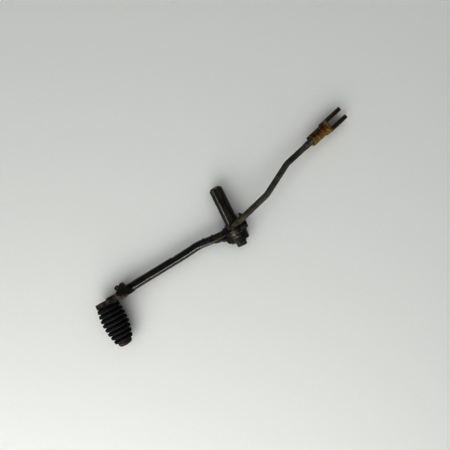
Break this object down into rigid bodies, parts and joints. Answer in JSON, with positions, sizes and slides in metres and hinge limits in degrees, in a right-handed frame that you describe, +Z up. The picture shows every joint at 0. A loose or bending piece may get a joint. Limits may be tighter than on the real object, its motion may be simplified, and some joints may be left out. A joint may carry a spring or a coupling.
{
  "type": "foot brake and shift lever",
  "caption": "Foot lever with a folding ribbed rubber toe peg, a pivot spindle, a crank and a bent link rod ending in a clevis.",
  "frame": {"origin": "on the pivot axis, where the spindle's shank meets its shoulder on the hub", "axes": "+Y along the pivot axis pointing inboard, into the frame that holds the spindle; +X back along the link rod, away from the toe pad; +Z up from the surface that the lever lies on"},
  "size_m": [0.2771, 0.1062, 0.0363],
  "materials": {
    "worn_black_steel": "worn gloss black over steel",
    "dark_steel": "oiled dark patina",
    "rusty_steel": "brown rust over bare steel",
    "hardware": "tarnished zinc",
    "spring_steel": "drawn wire",
    "rod_steel": "dull steel with brown stains",
    "yellow_zinc": "yellow chromate over steel, rusty at the arms",
    "bronze": "sintered",
    "rubber": "dusty matt black"
  },
  "bodies": {
    "spindle": {"pivot_spindle": "dark_steel", "thrust_washer": "hardware", "retaining_washer": "hardware", "spring_washer": "hardware", "pivot_bolt": "hardware"},
    "lever": {"hub_boss": "worn_black_steel", "hub_bushing": "bronze", "lever_arm": "worn_black_steel", "crank_plate": "worn_black_steel", "tip_fork": "rusty_steel", "fold_pin": "rusty_steel", "fold_washer": "hardware", "fold_spring": "spring_steel"},
    "toe_peg": {"peg_plate": "rusty_steel", "peg_pin": "rusty_steel", "end_cap": "rusty_steel", "rubber_pad": "rubber"},
    "link": {"link_rod": "rod_steel", "hook_washer": "hardware", "hook_cotter": "hardware"},
    "clevis": {"jam_nut": "yellow_zinc", "clevis_fork": "yellow_zinc"}
  },
  "joints": [
    {"name": "lever_pivot", "type": "hinge", "parent": "spindle", "child": "lever", "pos_m": [0, -0.00835, 0], "axis": [0, 1, 0], "range_deg": [-20, 20]},
    {"name": "toe_fold", "type": "hinge", "parent": "lever", "child": "toe_peg", "pos_m": [-0.1145, -0.0136, 0.0045], "axis": [0, 0, 1], "range_deg": [0, 85], "stiffness_Nm_per_rad": 0.25, "springref_deg": -40.11, "deforming": ["fold_spring"]},
    {"name": "rod_pivot", "type": "hinge", "parent": "lever", "child": "link", "pos_m": [-0.001, -0.0079, 0.02], "axis": [0, 1, 0], "range_deg": [-80, 35]},
    {"name": "clevis_turn", "type": "hinge", "parent": "link", "child": "clevis", "pos_m": [0.09453, 0.03335, 0.00279], "axis": [0.9441, 0.2823, -0.1701], "range_deg": [-180, 180]}
  ]
}
